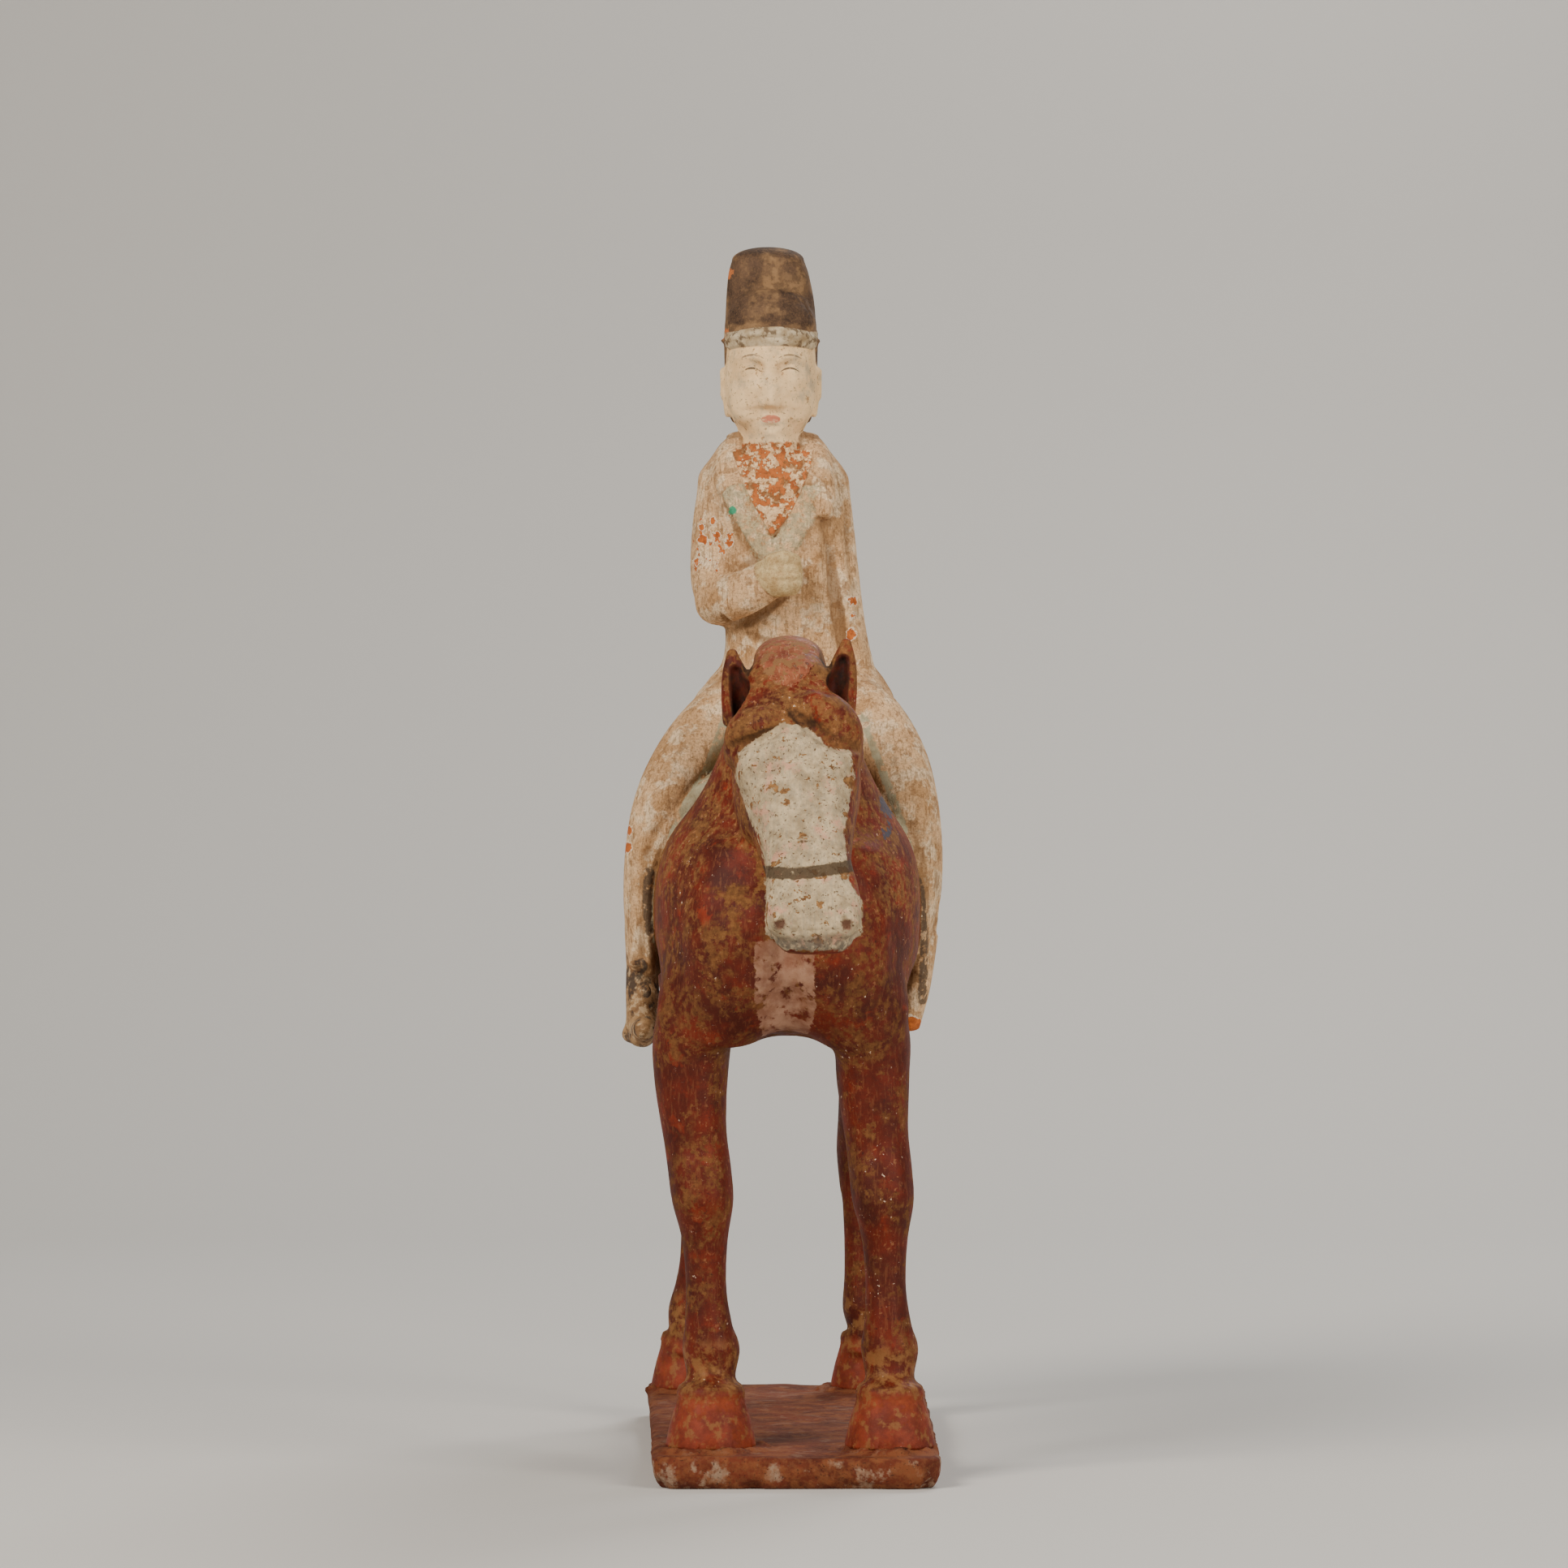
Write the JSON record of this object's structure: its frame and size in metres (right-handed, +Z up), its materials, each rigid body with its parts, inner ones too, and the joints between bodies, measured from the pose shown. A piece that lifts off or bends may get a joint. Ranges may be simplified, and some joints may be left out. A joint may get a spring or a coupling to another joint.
{
  "type": "equestrian figure",
  "caption": "Painted terracotta rider in a long coat and tall cap on a standing horse, the hooves luted to a long rectangular clay plinth.",
  "frame": {"origin": "on the plinth's underside, in the middle of its length and under the horse's middle line", "axes": "+Z up, -Y the way the horse faces, +X to the horse's left"},
  "size_m": [0.0954, 0.2691, 0.3683],
  "materials": {
    "painted_terracotta": "unglazed fired clay with worn cold-painted colour and soil",
    "clay_slab": "unglazed fired clay with worn red slip and soil"
  },
  "bodies": {
    "root": {"horse_and_rider": "painted_terracotta", "plinth": "clay_slab"}
  },
  "joints": []
}
